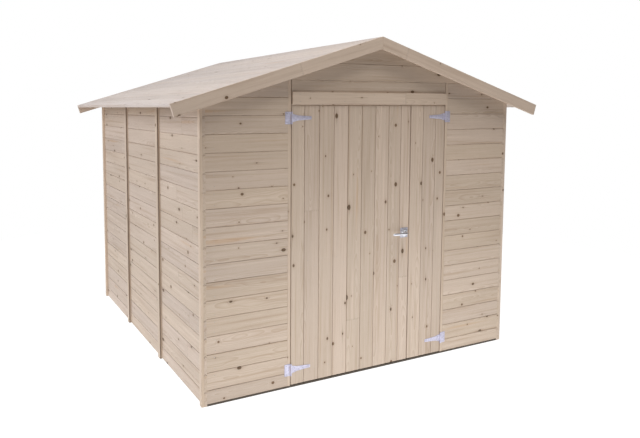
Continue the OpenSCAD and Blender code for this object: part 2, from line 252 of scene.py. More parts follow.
class Finish:
    """A material whose Principled shader is fed by expressions."""

    def __init__(self, name, **fixed):
        self.material = bpy.data.materials.new(name)
        self.material.use_nodes = True
        self.tree = self.material.node_tree
        self.surface = self.tree.nodes["Principled BSDF"]
        for socket, value in fixed.items():
            self.surface.inputs[socket.replace("_", " ")].default_value = value

    def add(self, kind, settings=None, values=None):
        """A node of this kind, with its settings made first and then its sockets filled."""
        node = self.tree.nodes.new("ShaderNode" + kind)
        for setting, value in (settings or {}).items():
            setattr(node, setting, value)
        for socket, value in (values or {}).items():
            self.feed(node.inputs[socket], value)
        return Node(self, node)

    def feed(self, socket, value):
        if isinstance(value, Value):
            self.tree.links.new(value.socket, socket)
        else:
            socket.default_value = value

    def split(self, vector):
        parts = self.add("SeparateXYZ", None, {"Vector": vector})
        return [parts.out(i) for i in range(3)]

    def join(self, x, y, z):
        return self.add("CombineXYZ", None, {"X": x, "Y": y, "Z": z}).out()

    def noise(self, vector, scale=1.0, detail=2.0, roughness=0.5):
        values = {"Vector": vector, "Scale": scale, "Detail": detail, "Roughness": roughness}
        return self.add("TexNoise", None, values).out(0)

    def mix(self, share, first, second, blend="MIX"):
        """Two colours mixed. The Mix node's colour sockets are numbers 6 and 7, and its result 2."""
        settings = {"data_type": "RGBA", "blend_type": blend, "clamp_factor": True}
        return self.add("Mix", settings, {0: share, 6: first, 7: second}).out(2)

    def show(self, **surface):
        for socket, value in surface.items():
            self.feed(self.surface.inputs[socket.replace("_", " ")], value)

    def raise_by(self, height, distance):
        """Bump from a height that runs from 0 to 1, where 1 stands this far out, in metres."""
        bump = self.add("Bump", None, {"Strength": 1.0, "Distance": distance, "Height": height})
        self.show(Normal=bump.out("Normal"))


print("shader words ready")

# %% [markdown]
# ## Spruce
# A board is a slice of a tree. Its stripes are rings around the tree's heart, seen where the saw
# happened to pass: near the heart they open into long flame shapes, far from it they run straight.
# So the finish works out each point's distance from a heart that wanders slowly along the board,
# and turns that into pale early wood and darker late wood. A flat stripe picture could be
# stretched over the boards instead, but it would repeat, and their ends would show no rings.
#
# Each board carries two attributes. `grain` says where a point is along, across and into its
# board, and `board` holds three random numbers and the place of a finger joint, so that one finish
# serves every board and no two look alike.

# %% The spruce finish
RING = 3.4 * MM
KNOT_CELL_ALONG = 0.30
KNOT_CELL_ACROSS = 0.107
TOOTH = 3.8 * MM
TOOTH_LENGTH = 10 * MM
RESIN = (0.50, 0.30, 0.16)
RESIN_SHARE = 0.45


def finger_joint(finish, along, across, splice):
    """Which side of a glued zigzag joint a point is on, and the thin line of the joint itself."""
    zigzag = ((across / TOOTH).fraction() - 0.5).size() * 2 * TOOTH_LENGTH
    beyond = along - splice - zigzag
    return beyond.above(0.0), beyond.size().ramp(1.6 * MM, 0.4 * MM)


def knots(finish, along, across, seed, share):
    """How deep in a knot a point is, how near to one, and each knot's own random tone."""
    row = across / KNOT_CELL_ACROSS + seed * 91.0
    cell = finish.join(along / KNOT_CELL_ALONG, row, 0.0)
    settings = {"voronoi_dimensions": "2D", "feature": "F1"}
    spots = finish.add("TexVoronoi", settings, {"Vector": cell, "Scale": 1.0, "Randomness": 0.9})
    at_x, at_y, _ = finish.split(spots.out("Position"))
    chance, breadth, tone = finish.split(spots.out("Color"))
    off_x = (along / KNOT_CELL_ALONG - at_x) * KNOT_CELL_ALONG * (0.95 - tone * 0.4)
    off_y = (row - at_y) * KNOT_CELL_ACROSS
    away = (off_x * off_x + off_y * off_y) ** 0.5
    present = chance.ramp(1 - share, 1 - share + 0.01)
    radius = breadth * breadth * 8.5 * MM + 3.4 * MM
    inside = (radius - away).do("DIVIDE", 1.6 * MM, clamp=True) * present
    near = (1 - away / (radius * 2.6 + 8 * MM)).do("MAXIMUM", 0.0) * present
    tail = (1 - off_y.size() / (radius * 0.8)).do("MAXIMUM", 0.0)
    tail = tail * off_x.size().ramp(0.055, 0.0) * present * tone.ramp(0.35, 0.9)
    return inside, near, away / radius, tone, tail


def spruce(name, pale, warm, late, knot, knot_share=0.72, contrast=1.0, sawn=False):
    """A spruce finish from its pale colours, its late wood colour and its knot colour."""
    finish = Finish(name, Specular_IOR_Level=0.28)
    pale_streak = tuple(min(1.0, c * 1.16) for c in pale)
    board = finish.add("Attribute", {"attribute_name": "board"})
    grain = finish.add("Attribute", {"attribute_name": "grain"})
    along, across, depth = finish.split(grain.out("Vector"))
    heart, seed, tone = finish.split(board.out("Vector"))

    side, glue_line = finger_joint(finish, along, across, board.out("Alpha"))
    heart = (heart + side * 0.39).fraction()
    seed = seed + side * 0.53
    start = along + seed * 43.0
    slow = finish.join(start, across * 3.0, depth * 3.0)
    wander = finish.noise(slow, 0.9, 1.0)
    sway = finish.noise(slow, 2.3, 2.0)
    inside, near, reach, knot_tone, tail = knots(finish, start, across, seed, knot_share)

    from_heart = across - (heart - 0.5) * 0.17 - (wander - 0.5) * 0.10
    to_heart = depth + 0.012 + seed.fraction() * 0.07 + (sway - 0.5) * 0.03
    radius = (from_heart * from_heart + to_heart * to_heart) ** 0.5
    rings = (radius + near * near * 9 * MM + sway * 6 * MM) / RING
    phase = rings.fraction()
    late_wood = phase ** 2.4 * phase.ramp(1.0, 0.93)

    streak_place = finish.join(start * 1.1, across * 46.0, depth * 46.0)
    streak = finish.noise(streak_place, 1.0, 3.0, 0.6)
    fibre_place = finish.join(start * 14.0, across * 900.0, depth * 900.0)
    fibre = finish.noise(fibre_place, 1.0, 2.0, 0.6)
    cloud = finish.noise(finish.join(start * 1.7, across * 9.0, depth * 9.0), 1.0, 2.0)

    colour = finish.mix(tone.ramp(0.15, 0.85), (*pale, 1), (*warm, 1))
    colour = finish.mix(late_wood * 0.42 * contrast, colour, (*late, 1))
    colour = finish.mix(streak.ramp(0.48, 0.72) * 0.42 * contrast, colour, (*late, 1))
    colour = finish.mix(streak.ramp(0.46, 0.28) * 0.35 * contrast, colour, (*pale_streak, 1))
    colour = finish.mix(fibre.ramp(0.50, 0.74) * 0.34 * contrast, colour, (*late, 1))
    resin_place = finish.join(start * 0.9 + 7.0, across * 19.0, depth * 6.0)
    resin = finish.noise(resin_place, 1.0, 1.0).ramp(0.68, 0.80) * RESIN_SHARE
    colour = finish.mix(resin, colour, (*RESIN, 1))
    shade = 0.95 + (cloud - 0.5) * 0.16 + ((tone * 7.3).fraction() - 0.35) * 0.11
    grey = finish.join(shade, shade, shade)
    colour = finish.mix(1.0, colour, grey, "MULTIPLY")
    halo = finish.mix(near * near * 0.55, colour, (*late, 1))
    halo = finish.mix(tail * 0.55, halo, tuple(c * 0.6 for c in late) + (1,))
    heart_of_knot = finish.mix(knot_tone, (*knot, 1), tuple(k * 0.55 for k in knot) + (1,))
    rim = (reach - 0.86).size().ramp(0.16, 0.02)
    dark_knot = finish.mix(rim * 0.6, heart_of_knot, tuple(k * 0.4 for k in knot) + (1,))
    colour = finish.mix(inside, halo, dark_knot)
    colour = finish.mix(glue_line * 0.55, colour, tuple(c * 0.45 for c in late) + (1,))

    # Painted shade: the narrow edges of the seam battens are darkened as if they lay in shade.
    edge_shade = finish.add("Attribute", {"attribute_name": "painted_edge_shade"}).out("Fac")
    colour = finish.mix(edge_shade * 0.75, colour, tuple(c * 0.35 for c in late) + (1,))

    relief = fibre * 0.5 + late_wood * 0.35 + streak * 0.3 - inside * 0.3 - glue_line * 0.5
    if sawn:
        kerf = ((start / (2.6 * MM) + sway * 3.0) * 6.283).do("SINE") * 0.5 + 0.5
        relief = relief + kerf * 0.9
        colour = finish.mix(kerf * fibre * 0.16, colour, (*late, 1))
    finish.show(Base_Color=colour, Roughness=0.52 + fibre * 0.16 + late_wood * 0.08)
    finish.raise_by(relief, (0.5 if sawn else 0.22) * MM)
    return finish.material


# %% Every kind of timber on the shed
KNOT_BROWN = (0.20, 0.12, 0.068)
LATE_WOOD = (0.40, 0.275, 0.185)
timber_finishes = {
    "wall_boards": spruce("planed_wall_boards", (0.595, 0.478, 0.385), (0.59, 0.470, 0.362),
                          LATE_WOOD, KNOT_BROWN, contrast=1.25),
    "door_boards": spruce("planed_door_boards", (0.595, 0.475, 0.38), (0.58, 0.465, 0.365),
                          LATE_WOOD, KNOT_BROWN, contrast=1.15),
    "roof_boards": spruce("planed_roof_boards", (0.62, 0.53, 0.465), (0.62, 0.525, 0.45),
                          LATE_WOOD, KNOT_BROWN, knot_share=0.3, contrast=0.8),
    # Partly the wood's own colour and partly painted light: the trim is paler than the wall boards
    # so that the barge boards look lit from above.
    "trim_wood": spruce("planed_trim", (0.65, 0.52, 0.415), (0.655, 0.515, 0.39),
                        LATE_WOOD, KNOT_BROWN, contrast=0.9),
    "frame_wood": spruce("sawn_framing", (0.57, 0.45, 0.34), (0.56, 0.435, 0.31),
                         LATE_WOOD, KNOT_BROWN, contrast=1.2, sawn=True),
    "treated_wood": spruce("brown_treated_sill", (0.115, 0.082, 0.058), (0.10, 0.076, 0.055),
                           (0.06, 0.045, 0.033), (0.05, 0.035, 0.025), sawn=True),
}
print(len(timber_finishes), "timber finishes")

# %% [markdown]
# ## Metal
# The hinges are pressed from steel and zinc plated, which leaves a bluish grey that is blotchy
# close to, and duller than chrome. The lever is smoother and brighter. Both are fully metallic,
# with their tone and roughness broken up by noise, because an even metal looks like plastic.

# %% Zinc, satin steel and nail heads
def metal(name, bright, dull, roughness, blotch, grain_bump, metallic=1.0):
    """A metal whose tone and roughness drift between bright and dull blotches."""
    finish = Finish(name, Metallic=metallic)
    place = finish.add("TexCoord").out("Object")
    spread = finish.noise(place, blotch, 3.0, 0.6)
    fine = finish.noise(place, 900.0, 2.0, 0.6)
    dullness = spread.ramp(0.35, 0.68)
    finish.show(Base_Color=finish.mix(dullness, (*bright, 1), (*dull, 1)),
                Roughness=roughness + dullness * 0.14 + fine * 0.08)
    finish.raise_by(fine * 0.5 + spread * 0.5, grain_bump)
    return finish.material


zinc = metal("zinc_plate", (0.63, 0.60, 0.70), (0.53, 0.50, 0.60), 0.50, 90.0, 0.10 * MM, 0.6)
lock_zinc = metal("lock_plate_zinc", (0.50, 0.48, 0.52), (0.42, 0.40, 0.44), 0.45, 70.0,
                  0.06 * MM, 0.7)
satin = metal("satin_steel", (0.72, 0.71, 0.73), (0.60, 0.59, 0.62), 0.30, 60.0, 0.03 * MM)
nail_steel = metal("nail_heads", (0.55, 0.53, 0.51), (0.36, 0.33, 0.30), 0.45, 200.0, 0.05 * MM)
print("four metals mixed")

# %% [markdown]
# ## Giving each board its own piece of the tree
# After a piece is modelled, its separate boards are found as groups of joined vertices. Each group
# gets coordinates along, across and into its own board, and its own random numbers. Doing this
# last, from the finished mesh, means that no cut or bevel can spoil the attributes.

# %% Find the boards in a mesh and stamp their grain
def islands(mesh):
    """For each vertex, the number of the board that it belongs to."""
    leader = list(range(len(mesh.vertices)))

    def top(i):
        while leader[i] != i:
            leader[i] = leader[leader[i]]
            i = leader[i]
        return i

    for edge in mesh.edges:
        a, b = (top(i) for i in edge.vertices)
        leader[max(a, b)] = min(a, b)
    roots = [top(i) for i in range(len(leader))]
    order = {root: n for n, root in enumerate(sorted(set(roots)))}
    return np.array([order[r] for r in roots])


def stamp_grain(piece, axes, seed, splices=None, splice_share=0.3):
    """Writes the grain and board attributes. axes is (along, across, outward), or None for a
    timber whose grain follows its own longest side. splices gives board number to joint place."""
    mesh = piece.data
    points = np.empty(len(mesh.vertices) * 3)
    mesh.vertices.foreach_get("co", points)
    points = points.reshape(-1, 3)
    owner = islands(mesh)
    chance = random.Random(seed)
    grain = np.zeros((len(points), 3))
    board = np.zeros((len(points), 4))
    for n in range(owner.max() + 1):
        mine = owner == n
        if axes is None:
            order = np.argsort(-np.ptp(points[mine], axis=0))
            turn = np.eye(3)[order]
        else:
            turn = np.array([list(axis) for axis in axes])
        local = points[mine] @ turn.T
        low, high = local.min(0), local.max(0)
        grain[mine, 0] = local[:, 0] - low[0]
        grain[mine, 1] = local[:, 1] - (low[1] + high[1]) / 2
        grain[mine, 2] = high[2] - local[:, 2]
        numbers = [chance.random() for _ in range(3)]
        length = high[0] - low[0]
        where = chance.uniform(0.15, 0.85) * length
        spliced = chance.random() < splice_share and length > 0.7
        joint = (splices or {}).get(n, where if spliced else -1.0)
        board[mine] = [*numbers, joint]
    mesh.attributes.new("grain", "FLOAT_VECTOR", "POINT").data.foreach_set(
        "vector", grain.astype(np.float32).ravel())
    mesh.attributes.new("board", "FLOAT_COLOR", "POINT").data.foreach_set(
        "color", board.astype(np.float32).ravel())
    return owner.max() + 1


# %% Turn a bmesh into a piece of the shed
def body_of(node):
    """The body that a node of the frame rides on."""
    bodies = frame["record"]["behaviour"]["bodies"]
    return next(body for body, nodes in bodies.items() if node in nodes)


def make_piece(name, bm, material, nodes=(), body="shed", smooth=None):
    """A finished piece: it rides on its body and stands for the frame's nodes, if it has any."""
    bmesh.ops.recalc_face_normals(bm, faces=bm.faces)
    mesh = bpy.data.meshes.new(name)
    bm.to_mesh(mesh)
    bm.free()
    mesh.materials.append(material)
    if smooth:
        mesh.shade_smooth()
        mesh.set_sharp_from_angle(angle=math.radians(smooth))
    piece = bpy.data.objects.new(name, mesh)
    scene.collection.objects.link(piece)
    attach(piece, body)
    if nodes:
        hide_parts(*nodes)
    return piece


# %% [markdown]
# ## Tongued boards
# Wall, door and roof boards all have the same section: a tongue along one edge that sits in a
# groove in the next board, and a small chamfer on the outer corners. Two chamfers and the gap
# between them make the thin dark line that shows where boards meet. Each board is its own closed
# solid, made by stretching that section along the board, so panels can be cut to the roof's slope
# with a plane and still have real wood at the cut.

# %% The section of a board, and a board made from it
TONGUE = 5.5 * MM
TONGUE_HALF = 2.4 * MM
BOARD_GAP = 2.2 * MM
CHAMFER = 2.2 * MM


def board_section(low, high, thick, tongue, groove):
    """Points (across, depth) round a board's section. Depth 0 is the outer face."""
    middle = thick / 2
    points = [(low, CHAMFER), (low + CHAMFER, 0), (high - CHAMFER, 0), (high, CHAMFER)]
    if tongue:
        points += [(high, middle - TONGUE_HALF), (high + TONGUE, middle - TONGUE_HALF),
                   (high + TONGUE, middle + TONGUE_HALF), (high, middle + TONGUE_HALF)]
    points += [(high, thick), (low, thick)]
    if groove:
        half = TONGUE_HALF + 0.3 * MM
        inner = low + TONGUE + 1.0 * MM
        points += [(low, middle + half), (inner, middle + half),
                   (inner, middle - half), (low, middle - half)]
    return points


class Face:
    """A flat side of the shed: its directions along and across the boards, and outwards."""

    def __init__(self, along, across, outward, reach):
        self.along, self.across, self.outward = along, across, outward
        self.reach = reach

    def point(self, a, c, depth):
        return self.along * a + self.across * c + self.outward * (self.reach - depth)

    def axes(self):
        return self.along, self.across, self.outward


def add_board(bm, face, start, end, section):
    """Stretches a section from start to end along a face."""
    ends = [[bm.verts.new(face.point(a, c, d)) for c, d in section] for a in (start, end)]
    count = len(section)
    for i in range(count):
        j = (i + 1) % count
        bm.faces.new((ends[0][i], ends[0][j], ends[1][j], ends[1][i]))
    bm.faces.new(ends[0])
    bm.faces.new(reversed(ends[1]))


def courses(low, high, first, cover, shortest=0.03):
    """The joints between boards from low to high, where the first joint is at first."""
    lines = [low]
    joint = first
    while joint < high - shortest:
        if joint > low + shortest:
            lines.append(joint)
        joint += cover
    return lines + [high]


def lay_boards(bm, face, start, end, lines, thick, chance):
    """Boards between each pair of lines. Each stands a hair proud or shy, as real ones do."""
    last = len(lines) - 2
    for i, (low, high) in enumerate(zip(lines, lines[1:])):
        shy = chance.uniform(0.0, 0.5) * MM
        section = board_section(low + BOARD_GAP / 2 * (i > 0), high - BOARD_GAP / 2 * (i < last),
                                thick - shy, tongue=i < last, groove=i > 0)
        section = [(c, d + shy) for c, d in section]
        add_board(bm, face, start, end, section)


def cut(bm, point, outward):
    """Cuts away what lies outside a plane, and closes the wood at the cut."""
    everything = bm.verts[:] + bm.edges[:] + bm.faces[:]
    bmesh.ops.bisect_plane(bm, geom=everything, dist=1e-7, plane_co=point,
                           plane_no=outward, clear_outer=True)
    open_edges = [edge for edge in bm.edges if edge.is_boundary]
    bmesh.ops.holes_fill(bm, edges=open_edges, sides=0)


# %% [markdown]
# ## Where the roof cuts the walls
# The gable boards follow the underside of the roof. The frame's gable panel already has that
# slope, so the plane through its peak and its lower corner is the one to cut with.

# %% Roof slope and wall faces, asked of the frame
gable_low, gable_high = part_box("front_gable_panel")
rise = (gable_high.z - gable_low.z) / gable_high.x
slope = math.atan(rise)
peak = Vector((0, 0, gable_high.z))
roof_normals = {side: Vector((side * math.sin(slope), 0, math.cos(slope))) for side in (-1, 1)}

front_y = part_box("front_left_panel")[0].y
wall_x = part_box("right_wall_front_panel")[1].x
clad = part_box("front_left_panel")[1].y - front_y
faces = {
    "front": Face(X, Z, -Y, -front_y),
    "rear": Face(X, Z, Y, -front_y),
    "left": Face(Y, Z, -X, wall_x),
    "right": Face(Y, Z, X, wall_x),
}
COVER = 0.10655
FIRST_COURSE = 0.082
print(f"roof slope {math.degrees(slope):.1f} degrees, wall boards {clad * 1000:.0f} mm thick")

# %% Boards of every wall panel
def wall_panel(node, face_name, under_roof=False):
    """The horizontal boards of one panel, laid over the box of its slab."""
    low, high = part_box(node)
    face = faces[face_name]
    start, end = (low.x, high.x) if face_name in ("front", "rear") else (low.y, high.y)
    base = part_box("front_left_panel")[0].z if face_name in ("front", "rear") else 0.0
    lines = courses(low.z, high.z, base + FIRST_COURSE, COVER)
    bm = bmesh.new()
    lay_boards(bm, face, start, end, lines, clad, random.Random(node))
    for outward in roof_normals.values():
        cut(bm, peak, outward)
    piece = make_piece(node + "_boards", bm, timber_finishes["wall_boards"], [node])
    return stamp_grain(piece, face.axes(), node + " grain")


wall_nodes = {
    "front": ["front_left_panel", "front_right_panel", "front_header_panel", "front_gable_panel"],
    "rear": ["rear_left_panel", "rear_right_panel", "rear_gable_panel"],
    "left": [f"left_wall_{place}_panel" for place in ("front", "middle", "rear")],
    "right": [f"right_wall_{place}_panel" for place in ("front", "middle", "rear")],
}
laid = sum(wall_panel(node, name) for name, nodes in wall_nodes.items() for node in nodes)
print(laid, "wall boards laid")

# %% [markdown]
# ## The roof
# The roof is boarded like the walls, with its boards lying parallel to the ridge. Each slope is a
# face of its own: across runs up the slope, and the boards stop where the two slopes meet.

# %% Boards of the roof
def roof_boards(node, side):
    """The boards of one slope, from the eave up to the ridge."""
    low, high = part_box(node)
    up_slope = Vector((-side * math.cos(slope), 0, math.sin(slope)))
    face = Face(Y, up_slope, roof_normals[side], high.z * math.cos(slope))
    ridge_at = high.z * math.sin(slope)
    half = high.x if side > 0 else -low.x
    length = half / math.cos(slope)
    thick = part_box("roof_left_slope")[1].z - gable_high.z
    thick = thick * math.cos(slope)
    lines = courses(ridge_at - length, ridge_at + 0.02, ridge_at - length + COVER, COVER)
    bm = bmesh.new()
    lay_boards(bm, face, low.y, high.y, lines, thick, random.Random(node))
    cut(bm, Vector((0, 0, 0)), X * -side)
    name = node + "_boards"
    piece = make_piece(name, bm, timber_finishes["roof_boards"], [node])
    return stamp_grain(piece, face.axes(), node + " grain", splice_share=0.5)


laid = roof_boards("roof_left_slope", -1) + roof_boards("roof_right_slope", 1)
print(laid, "roof boards laid")

# %% [markdown]
# ## The doors
# Each door is a row of upright tongued boards, nailed to ledges behind. The wide door's last board
# is plain and carries the lock. Its boards are trimmed at both edges, so the lines are spaced from
# the left edge by one narrow board and then by whole ones.

# %% Boards of the doors
def door_boards(node, body, widths):
    """Upright boards whose first ones have these widths; the last one takes what is left."""
    low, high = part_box(node)
    face = Face(Z, X, -Y, -front_y)
    lines = [low.x]
    for width in widths:
        lines.append(lines[-1] + width)
    lines.append(high.x)
    bm = bmesh.new()
    lay_boards(bm, face, low.z, high.z, lines, clad, random.Random(node))
    material = timber_finishes["door_boards"]
    piece = make_piece(node + "_laid", bm, material, [node], body)
    return stamp_grain(piece, face.axes(), node + " grain", splice_share=0.12)


DOOR_BOARD_WIDTHS = {
    "wide_door": [0.091] + [COVER] * 6 + [0.100],
    "narrow_door": [0.1045, 0.108],
}
laid = sum(door_boards(door + "_boards", door, widths)
           for door, widths in DOOR_BOARD_WIDTHS.items())
print(laid, "door boards laid")

# %% [markdown]
# ## Timbers with eased edges
# Posts, rails, battens and barge boards are single sticks that already have the right shape in
# the frame. Real ones never have a razor edge, and an edge that catches a thread of light is what
# makes them read as wood. So each is copied from the frame, cleaned to its plain faces, and its
# sharp edges are rounded.

# %% Copy a node's solids and round their edges
def eased_copy(node, radius):
    """The node's solids with clean faces and edges rounded by this radius."""
    bm = bmesh.new()
    bm.from_mesh(frame["nodes"][node].data)
    bmesh.ops.remove_doubles(bm, verts=bm.verts, dist=1e-6)
    bmesh.ops.dissolve_limit(bm, angle_limit=math.radians(1), verts=bm.verts, edges=bm.edges)
    sharp = [edge for edge in bm.edges
             if edge.is_manifold and edge.calc_face_angle() > math.radians(25)]
    bmesh.ops.bevel(bm, geom=sharp, offset=radius, offset_type="OFFSET", segments=2,
                    profile=0.5, affect="EDGES", clamp_overlap=True)
    return bm


def timber(node, slot, radius, axes=None, splices=None, splice_share=0.0):
    """A node of sticks, rounded and given its grain."""
    bm = eased_copy(node, radius)
    name = node + "_timber"
    piece = make_piece(name, bm, timber_finishes[slot], [node], body_of(node))
    return stamp_grain(piece, axes, node + " grain", splices, splice_share)


def paint_batten_edge_shade(piece):
    """Paints shade on the outer part of the narrow faces, across Y, of the battens over the side
    seams.
    """
    shade_from = wall_x + EDGE_SHADE_INSET
    bm = bmesh.new()
    bm.from_mesh(piece.data)
    for side in (-1, 1):
        everything = bm.verts[:] + bm.edges[:] + bm.faces[:]
        bmesh.ops.bisect_plane(bm, geom=everything, dist=1e-7, plane_no=X,
                               plane_co=X * side * shade_from)
    bm.to_mesh(piece.data)
    bm.free()
    seam_reach = -front_y * 0.8
    marks = []
    for face in piece.data.polygons:
        on_seam = abs(face.center.y) < seam_reach and abs(face.center.x) > shade_from
        marks.append(1.0 if on_seam and abs(face.normal.y) > 0.8 else 0.0)
    layer = piece.data.attributes.new("painted_edge_shade", "FLOAT", "FACE")
    layer.data.foreach_set("value", marks)


# %% Framing, battens, trim and sills
TRIM_ROUND = 1.6 * MM
SAWN_ROUND = 1.0 * MM
# How far out from the wall the painted shade on the battens' narrow edges begins.
EDGE_SHADE_INSET = 7 * MM
LINTEL, LINTEL_JOINT = 0, 0.85
sticks = 0
for node in ("front_wall_posts", "front_wall_rails", "rear_wall_posts", "rear_wall_rails",
             "left_wall_posts", "left_wall_rails", "right_wall_posts", "right_wall_rails",
             "front_gable_frame", "rear_gable_frame", "ridge_beam", "roof_purlins",
             "wide_door_ledges", "wide_door_brace", "narrow_door_ledges"):
    sticks += timber(node, "frame_wood", SAWN_ROUND)
sticks += timber("cover_battens", "trim_wood", TRIM_ROUND)
sticks += timber("door_surround", "trim_wood", TRIM_ROUND, splices={LINTEL: LINTEL_JOINT})
# Paints shade on the narrow edges, facing front and back, of the battens over the side seams.
paint_batten_edge_shade(bpy.data.objects["cover_battens_timber"])
sticks += timber("base_sills", "treated_wood", SAWN_ROUND)
for node in ("front_left_barge", "front_right_barge", "rear_left_barge", "rear_right_barge"):
    side = -1 if "left" in node else 1
    outward = -Y if "front" in node else Y
    down_slope = Vector((side * math.cos(slope), 0, -math.sin(slope)))
    axes = (down_slope, roof_normals[side], outward)
    sticks += timber(node, "trim_wood", TRIM_ROUND, axes, {0: 0.21 if side > 0 else 0.62})
print(sticks, "timbers eased")

# %% [markdown]
# ## Hinges
# T-hinges are pressed from flat steel, so their plates and straps come from the frame with only
# a slight rounding on the edges, smooth shaded so that the knuckles look turned. What tells the
# eye that they are real is their fixings, which come next.

# %% Plates and straps
STEEL_ROUND = 0.6 * MM
for node, slot, material in (("hinge_plates", "galvanised_steel", zinc),
                             ("wide_door_straps", "galvanised_steel", zinc),
                             ("narrow_door_straps", "galvanised_steel", zinc),
                             ("handle_plates", "lock_plate_steel", lock_zinc)):
    bm = eased_copy(node, STEEL_ROUND)
    make_piece(node + "_pressed", bm, material, [node], body_of(node), smooth=35)

# %% [markdown]
# ## Turned shapes
# Nail heads, screw heads, the handle's rose and its neck are all turned on a lathe: one outline
# swept round an axis. A single function makes them all, standing on any surface.

# %% Turn an outline round an axis
def turned(bm, foot, axis, outline, sides):
    """Sweeps (radius, height) pairs round an axis that leaves the surface at foot."""
    turn = axis.to_track_quat("Z", "Y").to_matrix()
    rings = []
    for radius, height in outline:
        ring = []
        for i in range(sides):
            angle = 2 * math.pi * i / sides
            local = Vector((radius * math.cos(angle), radius * math.sin(angle), height))
            ring.append(bm.verts.new(foot + turn @ local))
        rings.append(ring)
    for lower, upper in zip(rings, rings[1:]):
        for i in range(sides):
            j = (i + 1) % sides
            bm.faces.new((lower[i], lower[j], upper[j], upper[i]))
    bm.faces.new(rings[0])
    bm.faces.new(rings[-1])


# %% The separate solids of a node
def solid_boxes(node):
    """The lowest and highest corner of each separate solid in a node."""
    bm = bmesh.new()
    bm.from_mesh(frame["nodes"][node].data)
    bmesh.ops.remove_doubles(bm, verts=bm.verts, dist=1e-6)
    waiting = set(bm.verts)
    boxes = []
    while waiting:
        group = [waiting.pop()]
        for vert in group:
            near = {edge.other_vert(vert) for edge in vert.link_edges} & waiting
            waiting -= near
            group.extend(near)
        low = Vector([min(v.co[k] for v in group) for k in range(3)])
        high = Vector([max(v.co[k] for v in group) for k in range(3)])
        boxes.append((low, high))
    bm.free()
    return sorted(boxes, key=lambda box: tuple(box[0]))


# %% [markdown]
# ## Nails
# Cladding is nailed wherever it crosses the frame behind it, with two nails to a board. The
# posts and ledges in the frame say where that is. The heads are small and sunk almost flush.

# %% Nail heads
NAIL_RADIUS = 2.3 * MM
NAIL_PROUD = 0.35 * MM
NAIL_OUTLINE = [(NAIL_RADIUS * 0.9, -0.6 * MM), (NAIL_RADIUS, 0.0),
                (NAIL_RADIUS * 0.72, NAIL_PROUD * 0.8), (NAIL_RADIUS * 0.3, NAIL_PROUD)]
NAIL_SIDES = 8
NAIL_SUNK = 0.4 * MM
shake = random.Random("nails")


def nails(name, places, axis, body="shed"):
    """Nail heads at these places, each a little off its mark."""
    bm = bmesh.new()
    for place in places:
        off = Vector([shake.uniform(-2.5, 2.5) * MM for _ in range(3)])
        off -= axis * off.dot(axis)
        turned(bm, place + off, axis, NAIL_OUTLINE, NAIL_SIDES)
    make_piece(name, bm, nail_steel, body=body, smooth=60)
    return len(places)


def board_centres(low, high, first):
    """The middle of each board between two heights."""
    lines = courses(low, high, first, COVER)
    return [(a + b) / 2 for a, b in zip(lines, lines[1:])]


def under_roof(x, z):
    """Whether a place on a gable wall is well below the roof."""
    return z < peak.z - abs(x) * rise - 0.02


NAIL_PAIR = 0.032
driven = 0
base_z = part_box("front_left_panel")[0].z
for wall, nodes in wall_nodes.items():
    ends_wall = wall in ("front", "rear")
    posts = solid_boxes(wall + "_wall_posts")
    lines = [((low + high) / 2)[0 if ends_wall else 1] for low, high in posts]
    face = faces[wall]
    places = []
    for node in nodes:
        low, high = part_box(node)
        start, end = (low.x, high.x) if ends_wall else (low.y, high.y)
        across = lines if "gable" not in node else [-0.62, -0.21, 0.21, 0.62]
        first = (base_z if ends_wall else 0.0) + FIRST_COURSE
        for centre in board_centres(low.z, high.z, first):
            for line in across:
                for z in (centre - NAIL_PAIR, centre + NAIL_PAIR):
                    inside = start + 0.01 < line < end - 0.01 and low.z < z < high.z
                    if inside and (not ends_wall or under_roof(line, z)):
                        places.append(face.point(line, z, NAIL_SUNK))
    driven += nails(wall + "_wall_nails", places, face.outward)

for door, widths in DOOR_BOARD_WIDTHS.items():
    low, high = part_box(door + "_boards")
    lines = [low.x]
    for width in widths:
        lines.append(lines[-1] + width)
    lines.append(high.x)
    places = []
    for ledge_low, ledge_high in solid_boxes(door + "_ledges"):
        middle = (ledge_low.z + ledge_high.z) / 2
        for a, b in zip(lines, lines[1:]):
            for x, z in (((a * 3 + b) / 4, middle + 0.02), ((a + b * 3) / 4, middle - 0.02)):
                if ledge_low.x < x < ledge_high.x:
                    places.append(faces["front"].point(x, z, NAIL_SUNK))
    driven += nails(door + "_nails", places, -Y, door)
print(driven, "nails driven into the cladding")

# %% Nails along the battens, the lintel, the barge boards and the roof
def spaced(low, high, gap, margin):
    """Even places from low to high, starting and ending at the margin."""
    count = max(1, round((high - low - 2 * margin) / gap))
    return [low + margin + (high - low - 2 * margin) * i / count for i in range(count + 1)]


places = {"front": [], "rear": [], "left": [], "right": []}
for low, high in solid_boxes("cover_battens") + solid_boxes("door_surround"):
    middle = (low + high) / 2
    deep = high - low
    upright = deep.z > deep.x
    if low.y < front_y - MM and deep.y < 0.03:
        side = "front"
    elif high.y > -front_y + MM and deep.y < 0.03:
        side = "rear"
    else:
        side = "left" if middle.x < 0 else "right"
    if upright:
        for z in spaced(low.z, high.z, 0.33, 0.06):
            x_or_y = middle.x if side in ("front", "rear") else middle.y
            spot = faces[side].point(x_or_y, z, 0.0)
            edge = {"front": low.y, "rear": high.y, "left": low.x, "right": high.x}[side]
            k = 1 if side in ("front", "rear") else 0
            spot[k] = edge
            places[side].append(spot)
    else:
        for x in (low.x + 0.05, low.x + 0.37, middle.x, high.x - 0.37, high.x - 0.05):
            for z in (middle.z - 0.02, middle.z + 0.02):
                places[side].append(Vector((x, low.y, z)))
trim_nails = sum(nails(side + "_trim_nails", spots, faces[side].outward)
                 for side, spots in places.items() if spots)

